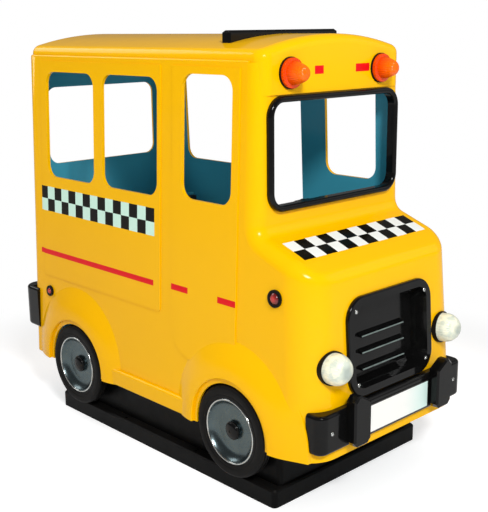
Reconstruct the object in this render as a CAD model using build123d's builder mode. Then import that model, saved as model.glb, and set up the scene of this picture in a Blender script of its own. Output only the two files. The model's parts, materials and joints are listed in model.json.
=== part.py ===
from build123d import *
import math
import os

# Children's coin-operated ride in the form of a small taxi van.
# Millimetres. -Y is the front, +X the van's left side, +Z up.
# The origin is on the floor, under the middle of the ride.

# Body shell, moulded glass fibre
wall = 9.0                # thickness of the moulded wall
waist_half = 400.0        # half width of the body at the waist
waist_z = 877.0           # height at which that half width is measured
side_taper = 0.042        # the sides lean in by this much for each mm of height
body_bottom = 226.0       # lower edge of the body
seam_z = 1520.0           # joint between body and roof
rear_y = 845.0            # rear wall
nose_y = -850.0           # nose's front face, at the lower edge
nose_lean = 0.0668        # it leans back by this much for each mm of height
nose_corner = 116.0       # upright corners of the nose, in plan
screen_y = -563.0         # front wall round the windscreen
cowl_radius = 45.0        # hollow curve from windscreen wall to bonnet
bonnet_slope = 0.3725     # fall of the bonnet for each mm forward
brow_y = -726.0           # where the bonnet turns down to the nose
brow_z = 894.0
brow_slope = 0.6          # fall from there on
brow_radius = 260.0
edge_radius = 54.0        # pillars, bonnet sides and top of the nose
nose_seam_y = -690.0      # nose moulding ahead of this
rear_seam_y = 770.0       # rear moulding behind this
centre_half = 305.0       # bonnet and header lie between the side mouldings
header_bottom = 1415.0    # above the windscreen the wall stands out in line with the roof
header_raise = 6.0
cut_spare = 60.0          # how far a cutter runs past what it cuts
fit_gap = 0.3             # between pieces that are fitted into each other

# Wheels
front_axle_y = -472.0
rear_axle_y = 486.0
tyre_radius = 170.0
tyre_width = 52.0
tyre_shoulder = 14.0
wheel_outset = 18.4       # the wheel's outer face stands out from the side by this much
tyre_clear = 7.0          # between tyre and plinth
rim_radius = 121.0
rim_lip = 8.0             # bright edge of the rim
rim_inset = 4.0           # the rim's edge lies behind the tyre's face
rim_thick = 4.0
rim_dish = 24.0           # depth of the bowl
hub_radius = 36.0
hub_rise = 8.0
cap_radius = 34.0
cap_height = 14.0
cap_wall = cap_height / 3
cap_shoulder = cap_height * 0.8
cap_shoulder_radius = cap_radius * 0.7
cap_top_radius = cap_radius * 0.3
bore_radius = 12.0
axle_play = 0.05
axle_collar = 30.0

# Plinth and machine housing
plinth_half = 406.0
plinth_y = 660.0
plinth_height = 66.0
plinth_round = 18.0
plinth_edge = 6.0
housing_gap = 28.0        # between housing and wheels
housing_y = 645.0
housing_top = 430.0
housing_round = 20.0
bolt_edge = 20.0          # bolts from the plinth's sides
bolt_y = 220.0
bolt_hole = 6.5

# Wheel arches and sills
lip_gap = 7.0             # between tyre and the arch's inner flange
flange_width = 18.0       # width of that flange, set back in the flare
flange_depth = 12.0
flange_thick = 9.0
flare_out = 7.0           # the flare stands out from the wheel by this much
flare_reach = 150.0       # the flare sinks into the side this far outside its lip
flare_brow = 31.0         # rounded crest of the flare
flare_slope = 84.0
flare_drop = 19.0
lip_round = 3.0
sill_in = 12.0            # the sill lies behind the flares by this much
sill_height = 66.0
sill_round = 8.0

# Raised panels of the sides
door_front_y = -480.0
door_rear_y = -132.0
door_bottom = 446.0
panel_top = 1504.0
door_corner = 118.0
door_raise = 4.0
side_panel_front_y = -66.0
side_panel_rear_y = 735.0
side_panel_bottom = 592.0
side_panel_corner = 14.0
side_panel_raise = 3.5

# Window openings: front, rear, sill and top
window_corner = 52.0
front_window = (-446.0, -187.0, 1041.0, 1478.0)
middle_window = (-47.0, 295.0, 1027.0, 1461.0)
rear_window = (353.0, 690.0, 1027.0, 1461.0)
doorway = (-52.0, 318.0, 520.0, 1461.0)
screen_half = 318.0
screen_sill = 1046.0
screen_top = 1390.0
screen_corner = 46.0
back_light_half = 290.0
back_light_sill = 1051.0
back_light_top = 1384.0

# Windscreen surround
bead_width = 22.0
bead_depth = 20.0
sleeve_thick = 4.0
sleeve_depth = 16.0       # it reaches this far behind the front wall's face

# Roof and roof board
roof_step = 8.0           # the roof rises inside the body's edge
roof_crown_z = 1608.0
crown_radius = 1330.0     # of the roof's curve across the van
roof_corner = 46.0
roof_shoulder = 34.0
board_half = 275.0
board_y = -306.0
board_depth = 44.0
board_rise = 14.0         # above the roof's crown
board_chamfer = 8.0

# Grille
grille_half = 232.0
grille_bottom = 403.0
grille_top = 755.0
grille_corner = 80.0
grille_rim = 30.0
grille_proud = 14.0
grille_edge = 6.0
tray_depth = 50.0         # behind the nose's face
tray_draft = 17.0
tray_thick = 4.0
slat_half = 118.0
slat_count = 3
slat_pitch = 59.0
slat_first = 482.0        # height of the lowest louvre
slat_height = 16.0
slat_proud = 18.0

# Lamps
headlight_x = 306.0
headlight_z = 541.0
headlight_yaw = 8.0       # degrees outward
headlight_radius = 58.5
headlight_bezel = 5.0
headlight_straight = 20.0
headlight_dome = 78.0
bezel_proud = 8.0
lamp_root = 30.0          # lamps start this far behind their plane, and follow the body
beacon_x = 236.0
beacon_z = 1484.0
beacon_gasket = 53.0
gasket_thick = 7.0
beacon_flange = 50.0
flange_foot = 10.0
beacon_step = 40.0
step_height = 21.0
beacon_radius = 29.0
beacon_straight = 55.0
beacon_height = 79.0
front_lamp = (-665.0, 766.0)
front_lamp_radius = 30.0
rear_lamp = (697.0, 523.0)
rear_lamp_radius = 23.0
side_lamp_rim = 9.0
side_lamp_proud = 8.0
side_lens_height = 13.0
side_lens_straight = 5.0

# Bumpers and plate
bumper_proud = 18.0       # the bumper's face stands ahead of the nose's lower edge
bumper_reach = 68.0       # length of its returned ends
bumper_half = 402.0
bumper_bottom = 260.0
bumper_height = 140.0
bumper_round = 13.0
bumper_corner = 36.0
rear_bumper_out = 63.0    # behind the rear wall
rear_bumper_half = 430.0
rear_bumper_bottom = 337.0
rear_bumper_height = 180.0
rear_bumper_return = 60.0
rear_bumper_corner = 58.0
overrider_inner = 190.0
overrider_outer = 276.0
overrider_depth = 40.0
overrider_bottom = 266.0
overrider_shoulder = 416.0
overrider_peak = 446.0
overrider_chamfer = 18.0
plate_half = 182.0
plate_bottom = 272.0
plate_top = 378.0
plate_corner = 6.0
plate_thick = 3.0

# Inside
floor_thick = 12.0
seat_front_y = 190.0
seat_back_y = 575.0
seat_side_gap = 41.21     # between the seat back's top and the side wall's inside
seat_top = 690.0
seat_rake = 30.0
seat_round = 40.0
backrest_thick = 55.0
backrest_top = 872.0
backrest_round = 20.0
dash_y = -455.0
dash_bottom = 770.0
dash_top = 985.0
steer_y = -330.0
steer_z = 900.0
steer_tilt = 38.0         # the column's rise above level, in degrees
steer_radius = 130.0
steer_tube = 11.0
steer_hub = 30.0
steer_hub_front = 18.0
steer_hub_rear = 12.0
spoke_width = 26.0
spoke_thick = 8.0
column_radius = 14.0
column_sleeve = 26.0
column_length = 150.0
sleeve_end = 22.0         # the sleeve stops this far behind the steering wheel

# Sizes worked out from those above
side_angle = math.atan(side_taper)
roof_board_top = roof_crown_z + board_rise
wheel_z = plinth_height + tyre_clear + tyre_radius
tyre_outer_x = waist_half - side_taper * (wheel_z - waist_z) + wheel_outset
tyre_inner_x = tyre_outer_x - tyre_width
housing_half = tyre_inner_x - housing_gap
bolt_x = plinth_half - bolt_edge
flare_x = tyre_outer_x + flare_out
flange_radius = tyre_radius + lip_gap
arch_radius = flange_radius + flange_width
sill_x = flare_x - sill_in
sill_top = body_bottom + sill_height
floor_z = housing_top + floor_thick
bumper_face_y = nose_y - bumper_proud
bumper_return_y = bumper_face_y + bumper_reach

os.makedirs("parts", exist_ok=True)


def half_width(z):
    """Half width of the leaning sides at height z."""
    return waist_half - side_taper * (z - waist_z)


def nose_face_y(z):
    """Y of the nose's front face at height z."""
    return nose_y + nose_lean * (z - body_bottom)


def save(piece, name):
    """Label a finished piece and write its file."""
    piece.part.label = name
    export_step(piece.part, "parts/" + name + ".step")


def plan_outline(z, inset):
    """Plan of the body at height z, drawn in by inset."""
    front = nose_face_y(z) + inset
    rear = rear_y - inset
    half = half_width(z) - inset / math.cos(side_angle)
    with BuildSketch(Plane.XY.offset(z)) as outline:
        with Locations((0, (front + rear) / 2)):
            Rectangle(2 * half, rear - front)
        rows = outline.vertices().group_by(Axis.Y)
        fillet(rows[0], nose_corner - inset)
    return outline.sketch


def bonnet_height(y, slope, inset):
    """Height at y of a line through the brow that falls forward by slope."""
    return brow_z + slope * (y - brow_y) - inset * math.hypot(1.0, slope)


def roof_plan(z, inset):
    """Plan of the roof at height z, drawn in by inset."""
    half = half_width(seam_z) - roof_step - inset
    front = screen_y - header_raise + inset
    rear = rear_y - roof_step - inset
    with BuildSketch(Plane.XY.offset(z)) as plan:
        with Locations((0, (front + rear) / 2)):
            RectangleRounded(2 * half, rear - front, roof_corner - inset)
    return plan.sketch


def body_form(inset):
    """Solid form of the body, drawn in from its outer surface by inset."""
    spread = math.hypot(1.0, brow_slope) - math.hypot(1.0, bonnet_slope)
    bend_y = brow_y + inset * spread / (brow_slope - bonnet_slope)
    front_y = screen_y + inset
    past_nose = nose_y - cut_spare
    with BuildPart() as form:
        add(plan_outline(body_bottom, inset))
        add(plan_outline(seam_z, inset))
        loft(ruled=True)
        with BuildSketch(Plane.YZ) as profile:
            with BuildLine():
                Polyline(
                    (rear_y + cut_spare, body_bottom),
                    (rear_y + cut_spare, seam_z),
                    (front_y, seam_z),
                    (front_y, bonnet_height(front_y, bonnet_slope, inset)),
                    (bend_y, bonnet_height(bend_y, bonnet_slope, inset)),
                    (past_nose, bonnet_height(past_nose, brow_slope, inset)),
                    (past_nose, body_bottom),
                    close=True,
                )
            make_face()
            corners = profile.vertices()
            cowl = corners.filter_by(lambda v: abs(v.X - front_y) < 1).sort_by(Axis.Y)[0]
            fillet(cowl, cowl_radius + inset)
            bend = profile.vertices().filter_by(lambda v: abs(v.X - bend_y) < 1)
            fillet(bend, brow_radius - inset)
        extrude(amount=flare_x, both=True, mode=Mode.INTERSECT)
        tops = form.faces().filter_by(
            lambda f: abs(f.center().X) < 1 and f.center().Y < front_y + 1 and f.center().Z > dash_bottom
            and abs(f.center().Z - seam_z) > 1
        )
        rims = tops.edges().filter_by(lambda e: abs(e.center().X) > centre_half)
        brow = tops.edges().filter_by(Axis.X).sort_by(Axis.Z)[0]
        fillet(rims + ShapeList([brow]), edge_radius - inset)
    return form.part


def side_window(opening, corner):
    """Upright cutter through the left side for a rounded opening."""
    front, rear, sill, top = opening
    with BuildPart() as cutter:
        with BuildSketch(Plane.YZ.offset(waist_half / 2)):
            with Locations(((front + rear) / 2, (sill + top) / 2)):
                RectangleRounded(rear - front, top - sill, corner)
        extrude(amount=waist_half)
    return cutter.part


def end_window(half, sill, top, corner, y):
    """Cutter through the front or rear wall at y for a rounded opening."""
    with BuildPart() as cutter:
        with BuildSketch(Plane.XZ.offset(-y)):
            with Locations((0, (sill + top) / 2)):
                RectangleRounded(2 * half, top - sill, corner)
        extrude(amount=cut_spare, both=True)
    return cutter.part


def flare(y):
    """Swelling round a left-hand wheel arch, as a ring about the axle line."""
    section_plane = Plane(origin=(0, y, wheel_z), x_dir=(1, 0, 0), z_dir=(0, -1, 0))
    outer_radius = arch_radius + flare_reach
    root_x = half_width(wheel_z + outer_radius) - wall / 2
    deep_x = half_width(seam_z) - nose_corner / 2
    axle_line = Axis((0, y, wheel_z), (1, 0, 0))
    with BuildPart() as ring:
        with BuildSketch(section_plane):
            with BuildLine():
                Spline(
                    (root_x, outer_radius),
                    (flare_x - flare_drop, arch_radius + flare_slope),
                    (flare_x - lip_round, arch_radius + flare_brow),
                    (flare_x, arch_radius + lip_round),
                )
                Polyline(
                    (flare_x, arch_radius + lip_round),
                    (flare_x - lip_round, arch_radius),
                    (flare_x - flange_depth, arch_radius),
                    (flare_x - flange_depth, flange_radius),
                    (flare_x - flange_depth - flange_thick, flange_radius),
                    (flare_x - flange_depth - flange_thick, arch_radius),
                    (deep_x, arch_radius),
                    (deep_x, outer_radius),
                    (root_x, outer_radius),
                )
            make_face()
        revolve(axis=axle_line, revolution_arc=360)
        with BuildSketch(Plane.XY.offset(body_bottom)) as plan:
            with Locations((0, (nose_y + rear_y) / 2)):
                Rectangle(2 * flare_x + 2, rear_y - nose_y)
            rows = plan.vertices().group_by(Axis.Y)
            fillet(rows[0], nose_corner + flare_out)
        extrude(amount=seam_z - body_bottom, mode=Mode.INTERSECT)
        add(flare_trim, mode=Mode.SUBTRACT)
    return ring.part


def raised_panel(front, rear, bottom, corner, height):
    """Area of the left side that stands out by height from the body form."""
    with BuildPart() as panel:
        with BuildSketch(Plane.YZ) as outline:
            with Locations(((front + rear) / 2, (bottom + panel_top) / 2)):
                Rectangle(rear - front, panel_top - bottom)
            rows = outline.vertices().group_by(Axis.Y)
            fillet(rows[0], corner)
        extrude(amount=flare_x)
        raise_x = height / math.cos(side_angle)
        with BuildSketch(Plane.XZ):
            Polygon(
                (half_width(body_bottom) - wall / 2, body_bottom),
                (half_width(body_bottom) + raise_x, body_bottom),
                (half_width(seam_z) + raise_x, seam_z),
                (half_width(seam_z) - wall / 2, seam_z),
                align=None,
            )
        extrude(amount=2 * rear_y, both=True, mode=Mode.INTERSECT)
    return panel.part


body = body_form(0.0)
hollow = body_form(wall)
body_clear = body_form(-fit_gap)
lining = body_form(wall + fit_gap)
flare_trim = body_form(wall - fit_gap)

# Dress of the left side, each form trimmed to the inside of the wall
door_panel = raised_panel(door_front_y, door_rear_y, door_bottom, door_corner, door_raise)
side_panel = raised_panel(side_panel_front_y, side_panel_rear_y, side_panel_bottom,
                          side_panel_corner, side_panel_raise)
flares = (flare(front_axle_y), flare(rear_axle_y))
sill_front = front_axle_y + arch_radius + flare_brow
sill_rear = rear_axle_y - arch_radius - flare_brow
with BuildPart() as sill:
    with BuildSketch(Plane.XZ.offset(-sill_front)) as sill_section:
        with Locations((sill_x, body_bottom)):
            Rectangle(sill_x - waist_half, sill_height, align=(Align.MAX, Align.MIN))
        fillet(sill_section.vertices().sort_by(Axis.X)[-2:], sill_round)
    extrude(amount=sill_front - sill_rear)
    add(flare_trim, mode=Mode.SUBTRACT)

# Whole moulded shell, before it is parted into mouldings
with BuildPart() as shell:
    add(body)
    add(roof_plan(header_bottom, 0.0))
    extrude(amount=seam_z - header_bottom)
    add(hollow, mode=Mode.SUBTRACT)
    for form in (door_panel, side_panel, sill.part):
        add(form)
        add(mirror(form, about=Plane.YZ))
    for axle_y in (front_axle_y, rear_axle_y):
        with BuildSketch(Plane.YZ):
            with Locations((axle_y, wheel_z)):
                Circle(arch_radius + lip_round)
        extrude(amount=flare_x + cut_spare, both=True, mode=Mode.SUBTRACT)
    for form in flares:
        add(form)
        add(mirror(form, about=Plane.YZ))
    for opening in (front_window, rear_window):
        cutter = side_window(opening, window_corner)
        add(cutter, mode=Mode.SUBTRACT)
        add(mirror(cutter, about=Plane.YZ), mode=Mode.SUBTRACT)
    add(end_window(screen_half + sleeve_thick, screen_sill - sleeve_thick, screen_top + sleeve_thick,
                   screen_corner + sleeve_thick, screen_y), mode=Mode.SUBTRACT)
    add(end_window(back_light_half, back_light_sill, back_light_top, screen_corner, rear_y),
        mode=Mode.SUBTRACT)

# The nose is open behind the grille's tray
grille_mid = (grille_bottom + grille_top) / 2
nose_normal = (0, -1, nose_lean)
grille_plane = Plane(origin=(0, nose_face_y(grille_mid), grille_mid), x_dir=(1, 0, 0),
                     z_dir=nose_normal)
grille_height = grille_top - grille_bottom
tray_half = grille_half - grille_rim
tray_height = grille_height - 2 * grille_rim
tray_corner = grille_corner - grille_rim
with BuildPart() as open_shell:
    add(shell.part)
    with BuildSketch(grille_plane):
        RectangleRounded(2 * (tray_half + tray_thick), tray_height + 2 * tray_thick,
                         tray_corner + tray_thick)
    extrude(amount=tray_depth, both=True, mode=Mode.SUBTRACT)

nose_cut = Plane.XZ.offset(-nose_seam_y)
rear_cut = Plane.XZ.offset(-rear_seam_y)

with BuildPart() as nose:
    add(open_shell.part)
    split(bisect_by=nose_cut, keep=Keep.TOP)

with BuildPart() as rear_panel:
    add(open_shell.part)
    split(bisect_by=rear_cut, keep=Keep.BOTTOM)

with BuildPart() as middle:
    add(open_shell.part)
    split(bisect_by=nose_cut, keep=Keep.BOTTOM)
    split(bisect_by=rear_cut, keep=Keep.TOP)

with BuildPart() as side_blank:
    add(middle.part)
    split(bisect_by=Plane.YZ.offset(-centre_half), keep=Keep.BOTTOM)

with BuildPart() as body_right:
    add(side_blank.part)
    add(mirror(side_window(middle_window, window_corner), about=Plane.YZ), mode=Mode.SUBTRACT)

with BuildPart() as body_left:
    add(mirror(side_blank.part, about=Plane.YZ))
    add(side_window(doorway, window_corner), mode=Mode.SUBTRACT)

with BuildPart() as strips:
    add(middle.part)
    split(bisect_by=Plane.YZ.offset(centre_half), keep=Keep.BOTTOM)
    split(bisect_by=Plane.YZ.offset(-centre_half), keep=Keep.TOP)

screen_mid = (screen_sill + screen_top) / 2
with BuildPart() as bonnet:
    add(strips.part)
    split(bisect_by=Plane.XY.offset(screen_mid), keep=Keep.BOTTOM)

with BuildPart() as header:
    add(strips.part)
    split(bisect_by=Plane.XY.offset(screen_mid), keep=Keep.TOP)

save(nose, "nose_moulding")
save(rear_panel, "rear_moulding")
save(body_left, "side_moulding_left")
save(body_right, "side_moulding_right")
save(bonnet, "bonnet")
save(header, "header_panel")


def roof_form(inset):
    """Crowned roof with soft edges all round, drawn in by inset."""
    half = half_width(seam_z) - roof_step - inset
    front = screen_y - header_raise + inset
    rear = rear_y - roof_step - inset
    crown_z = roof_crown_z - inset
    curve = crown_radius - inset
    reach = half + cut_spare
    side_z = crown_z - curve + math.sqrt(curve ** 2 - reach ** 2)
    with BuildPart() as form:
        add(roof_plan(seam_z, inset))
        extrude(amount=crown_z - seam_z)
        with BuildSketch(Plane.XZ.offset(-rear - cut_spare)):
            with BuildLine():
                Polyline((-reach, side_z), (-reach, seam_z), (reach, seam_z), (reach, side_z))
                ThreePointArc((reach, side_z), (0, crown_z), (-reach, side_z))
            make_face()
        extrude(amount=rear - front + 2 * cut_spare, mode=Mode.INTERSECT)
        crown = form.faces().sort_by(Axis.Z)[-1]
        fillet(crown.edges(), roof_shoulder - inset)
    return form.part


roof_outside = roof_form(0.0)
with BuildPart() as roof:
    add(roof_outside)
    add(roof_form(wall), mode=Mode.SUBTRACT)
save(roof, "roof")

with BuildPart() as roof_board:
    with BuildSketch(Plane.XY.offset(seam_z)):
        with Locations((0, board_y)):
            Rectangle(2 * board_half, board_depth)
    extrude(amount=roof_board_top - seam_z)
    chamfer(roof_board.edges().group_by(Axis.Z)[-1], board_chamfer)
    add(roof_outside, mode=Mode.SUBTRACT)
save(roof_board, "roof_board")

with BuildPart() as surround:
    with BuildSketch(Plane.XZ.offset(bead_depth - screen_y)):
        with Locations((0, screen_mid)):
            RectangleRounded(2 * (screen_half + bead_width),
                             screen_top - screen_sill + 2 * bead_width, screen_corner + bead_width)
            RectangleRounded(2 * screen_half, screen_top - screen_sill, screen_corner,
                             mode=Mode.SUBTRACT)
    extrude(amount=-bead_depth - edge_radius)
    fillet(surround.edges().group_by(Axis.Y)[0], bead_width / 2 - 1)
    add(body_clear, mode=Mode.SUBTRACT)
    with BuildSketch(Plane.XZ.offset(-screen_y - sleeve_depth)):
        with Locations((0, screen_mid)):
            RectangleRounded(2 * (screen_half + sleeve_thick - fit_gap),
                             screen_top - screen_sill + 2 * (sleeve_thick - fit_gap),
                             screen_corner + sleeve_thick)
            RectangleRounded(2 * screen_half, screen_top - screen_sill, screen_corner,
                             mode=Mode.SUBTRACT)
    extrude(amount=sleeve_depth + bead_depth / 2)
save(surround, "windscreen_surround")

# Grille moulding: a proud rim and a tray sunk into the nose
draft_angle = math.degrees(math.atan(tray_draft / tray_depth))
with BuildPart() as grille:
    with BuildSketch(grille_plane):
        RectangleRounded(2 * grille_half, grille_height, grille_corner)
    extrude(amount=grille_proud)
    front_face = grille.faces().sort_by(Axis(grille_plane.origin, grille_plane.z_dir))[-1]
    fillet(front_face.edges(), grille_edge)
    with BuildSketch(grille_plane):
        RectangleRounded(2 * (tray_half + tray_thick - fit_gap),
                         tray_height + 2 * (tray_thick - fit_gap), tray_corner + tray_thick)
    extrude(amount=-tray_depth, taper=draft_angle)
    with BuildSketch(grille_plane.offset(grille_proud)):
        RectangleRounded(2 * tray_half, tray_height, tray_corner)
    extrude(amount=-grille_proud - tray_depth + tray_thick, taper=draft_angle, mode=Mode.SUBTRACT)
save(grille, "grille")

# Louvres, each with a sloping upper face, on the back of the tray
with BuildPart() as slats:
    for number in range(slat_count):
        height = slat_first + number * slat_pitch
        back_y = nose_face_y(height) + (tray_depth - tray_thick) * math.hypot(1.0, nose_lean)
        lean_y = nose_lean * slat_height / 2
        with BuildSketch(Plane.YZ.offset(-slat_half)):
            Polygon(
                (back_y - lean_y, height - slat_height / 2),
                (back_y - lean_y - slat_proud, height - slat_height / 2),
                (back_y - lean_y - slat_proud, height - slat_height / 4),
                (back_y + lean_y, height + slat_height / 2),
                align=None,
            )
        extrude(amount=2 * slat_half)
save(slats, "grille_slats")


def lamp_plane(side):
    """Plane of one headlight on the rounded nose, turned outward."""
    yaw = math.radians(headlight_yaw)
    outward = (side * math.sin(yaw), -math.cos(yaw), nose_lean)
    origin = (side * headlight_x, nose_face_y(headlight_z), headlight_z)
    return Plane(origin=origin, x_dir=(math.cos(yaw), side * math.sin(yaw), 0), z_dir=outward)


def dome_arc(radius, straight, height):
    """Arc of a dome from its crown at height down to its edge at straight."""
    rise = height - straight
    slope = math.radians(45)
    shoulder = (radius * math.sin(slope), straight + rise * math.cos(slope))
    return ThreePointArc((0, height), shoulder, (radius, straight))


def domed_lens(plane, root, radius, straight, height):
    """Turned lens that starts behind plane by root and ends in a dome."""
    with BuildPart() as lens:
        with BuildSketch(Plane.XZ):
            with BuildLine():
                Polyline((0, height), (0, -root), (radius, -root), (radius, straight))
                dome_arc(radius, straight, height)
            make_face()
        revolve(axis=Axis.Z, revolution_arc=360)
    return plane * lens.part


with BuildPart() as headlight_bezels:
    for side in (-1, 1):
        with BuildSketch(lamp_plane(side).offset(-lamp_root)):
            Circle(headlight_radius)
            Circle(headlight_radius - headlight_bezel, mode=Mode.SUBTRACT)
        extrude(amount=lamp_root + bezel_proud)
    add(body_clear, mode=Mode.SUBTRACT)
save(headlight_bezels, "headlight_bezels")

with BuildPart() as headlight_lenses:
    for side in (-1, 1):
        add(domed_lens(lamp_plane(side), lamp_root, headlight_radius - headlight_bezel - fit_gap,
                       headlight_straight, headlight_dome))
    add(body_clear, mode=Mode.SUBTRACT)
save(headlight_lenses, "headlight_lenses")

header_plane = Plane.XZ.offset(header_raise - screen_y)
with BuildPart() as beacon_bases:
    with BuildSketch(header_plane):
        with Locations((-beacon_x, beacon_z), (beacon_x, beacon_z)):
            Circle(beacon_gasket)
    extrude(amount=gasket_thick)
save(beacon_bases, "beacon_bases")

# Beacon lens: flange, rounded step, then the lamp's dome
with BuildPart() as beacon_lens:
    with BuildSketch(Plane.XZ):
        with BuildLine():
            Polyline((0, beacon_height), (0, gasket_thick), (beacon_flange, gasket_thick),
                     (beacon_flange, gasket_thick + flange_foot), (beacon_step, step_height),
                     (beacon_radius, step_height), (beacon_radius, beacon_straight))
            dome_arc(beacon_radius, beacon_straight, beacon_height)
        make_face()
    revolve(axis=Axis.Z, revolution_arc=360)

with BuildPart() as beacon_lenses:
    for side in (-1, 1):
        foot = Plane(origin=(side * beacon_x, screen_y - header_raise, beacon_z),
                     x_dir=(1, 0, 0), z_dir=(0, -1, 0))
        add(foot * beacon_lens.part)
save(beacon_lenses, "beacon_lenses")


def side_lamp_plane(side, spot):
    """Plane on one leaning side at a lamp's y and z."""
    y, z = spot
    outward = (side * math.cos(side_angle), 0, math.sin(side_angle))
    return Plane(origin=(side * half_width(z), y, z), x_dir=(0, 1, 0), z_dir=outward)


side_lamps = ((front_lamp, front_lamp_radius), (rear_lamp, rear_lamp_radius))
with BuildPart() as side_lamp_bezels:
    for side in (-1, 1):
        for spot, radius in side_lamps:
            with BuildSketch(side_lamp_plane(side, spot)):
                Circle(radius)
                Circle(radius - side_lamp_rim, mode=Mode.SUBTRACT)
            extrude(amount=side_lamp_proud)
save(side_lamp_bezels, "side_lamp_bezels")

with BuildPart() as side_lamp_lenses:
    for side in (-1, 1):
        for spot, radius in side_lamps:
            add(domed_lens(side_lamp_plane(side, spot), 0, radius - side_lamp_rim - fit_gap,
                           side_lens_straight, side_lens_height))
save(side_lamp_lenses, "side_lamp_lenses")


def bumper(half, face_y, return_y, bottom, height, corner):
    """Bumper bar with rounded returned ends, facing forward."""
    with BuildPart() as bar:
        with BuildSketch(Plane.XY.offset(bottom)) as plan:
            with Locations((0, face_y)):
                Rectangle(2 * half, return_y - face_y, align=(Align.CENTER, Align.MIN))
            fillet(plan.vertices().group_by(Axis.Y)[0], corner)
        extrude(amount=height)
        levels = bar.edges().group_by(Axis.Z)
        outer = (levels[0] + levels[-1]).filter_by(lambda e: e.center().Y < return_y - 1)
        fillet(outer, bumper_round)
        add(body_clear, mode=Mode.SUBTRACT)
    return bar.part


with BuildPart() as front_bumper:
    add(bumper(bumper_half, bumper_face_y, bumper_return_y, bumper_bottom, bumper_height,
               bumper_corner))
    add(flares[0], mode=Mode.SUBTRACT)
    add(mirror(flares[0], about=Plane.YZ), mode=Mode.SUBTRACT)
save(front_bumper, "front_bumper")

with BuildPart() as rear_bar:
    with BuildSketch(Plane.XY.offset(rear_bumper_bottom)) as rear_plan:
        with Locations((0, rear_y + rear_bumper_out)):
            Rectangle(2 * rear_bumper_half, rear_bumper_out + rear_bumper_return,
                      align=(Align.CENTER, Align.MAX))
        fillet(rear_plan.vertices().group_by(Axis.Y)[-1], rear_bumper_corner)
    extrude(amount=rear_bumper_height)
    ends = rear_bar.edges().group_by(Axis.Z)
    rear_outer = (ends[0] + ends[-1]).filter_by(lambda e: e.center().Y > rear_y - rear_bumper_return + 1)
    fillet(rear_outer, bumper_round)
    add(body_clear, mode=Mode.SUBTRACT)
save(rear_bar, "rear_bumper")

# Overriders, peaked on the outer side and chamfered below
with BuildPart() as overriders:
    for side in (-1, 1):
        with BuildSketch(Plane.XZ.offset(-bumper_face_y)):
            Polygon(
                (side * overrider_inner, overrider_bottom + overrider_chamfer),
                (side * (overrider_inner + overrider_chamfer), overrider_bottom),
                (side * (overrider_outer - overrider_chamfer), overrider_bottom),
                (side * overrider_outer, overrider_bottom + overrider_chamfer),
                (side * overrider_outer, overrider_peak - overrider_chamfer),
                (side * (overrider_outer - overrider_chamfer), overrider_peak),
                (side * (overrider_outer - 2 * overrider_chamfer), overrider_peak),
                (side * overrider_inner, overrider_shoulder),
                align=None,
            )
        extrude(amount=overrider_depth)
    chamfer(overriders.edges().group_by(Axis.Y)[0], bumper_round / 2)
save(overriders, "overriders")

with BuildPart() as plate:
    with BuildSketch(Plane.XZ.offset(-bumper_face_y)):
        with Locations((0, (plate_bottom + plate_top) / 2)):
            RectangleRounded(2 * plate_half, plate_top - plate_bottom, plate_corner)
    extrude(amount=plate_thick)
save(plate, "number_plate")

with BuildPart() as plinth:
    with BuildSketch():
        RectangleRounded(2 * plinth_half, 2 * plinth_y, plinth_round)
    extrude(amount=plinth_height)
    chamfer(plinth.edges().group_by(Axis.Z)[-1], plinth_edge)
    with Locations((0, 0, plinth_height)):
        with GridLocations(2 * bolt_x, 2 * bolt_y, 2, 2):
            Hole(bolt_hole, plinth_height)
save(plinth, "plinth")

with BuildPart() as housing:
    with BuildSketch(Plane.XY.offset(plinth_height)):
        RectangleRounded(2 * housing_half, 2 * housing_y, housing_round)
    extrude(amount=housing_top - plinth_height)
save(housing, "machine_housing")

with BuildPart() as floor_pan:
    add(lining)
    split(bisect_by=Plane.XY.offset(housing_top), keep=Keep.TOP)
    split(bisect_by=Plane.XY.offset(floor_z), keep=Keep.BOTTOM)
    with BuildSketch(grille_plane):
        Rectangle(2 * (tray_half + tray_thick), tray_height + 2 * tray_thick)
    extrude(amount=-tray_depth - fit_gap, mode=Mode.SUBTRACT)
save(floor_pan, "cabin_floor")

seat_half = half_width(backrest_top) - wall - seat_side_gap
with BuildPart() as seat:
    with BuildSketch(Plane.YZ.offset(-seat_half)) as seat_side:
        with BuildLine():
            Polyline((seat_front_y + seat_rake, floor_z), (seat_front_y, seat_top),
                     (seat_back_y, seat_top), (seat_back_y, floor_z), close=True)
        make_face()
        fillet(seat_side.vertices().sort_by(Axis.Y)[-2:].sort_by(Axis.X)[0], seat_round)
    extrude(amount=2 * seat_half)
save(seat, "seat")

with BuildPart() as backrest:
    with BuildSketch(Plane.XY.offset(floor_z)):
        with Locations((0, seat_back_y)):
            Rectangle(2 * seat_half, backrest_thick, align=(Align.CENTER, Align.MIN))
    extrude(amount=backrest_top - floor_z)
    fillet(backrest.edges().group_by(Axis.Z)[-1], backrest_round)
save(backrest, "seat_back")

with BuildPart() as dashboard:
    add(lining)
    split(bisect_by=Plane.XY.offset(dash_bottom), keep=Keep.TOP)
    split(bisect_by=Plane.XY.offset(dash_top), keep=Keep.BOTTOM)
    split(bisect_by=Plane.XZ.offset(-dash_y), keep=Keep.TOP)
save(dashboard, "dashboard")

tilt = math.radians(steer_tilt)
steer_plane = Plane(origin=(0, steer_y, steer_z), x_dir=(1, 0, 0),
                    z_dir=(0, math.cos(tilt), math.sin(tilt)))
with BuildPart() as column:
    with BuildSketch(steer_plane.offset(-column_length)):
        Circle(column_radius)
    extrude(amount=column_length + steer_hub_front / 2)
    with BuildSketch(steer_plane.offset(-column_length)):
        Circle(column_sleeve)
    extrude(amount=column_length - sleeve_end)
    split(bisect_by=Plane.XZ.offset(-dash_y - fit_gap), keep=Keep.BOTTOM)
save(column, "steering_column")

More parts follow.
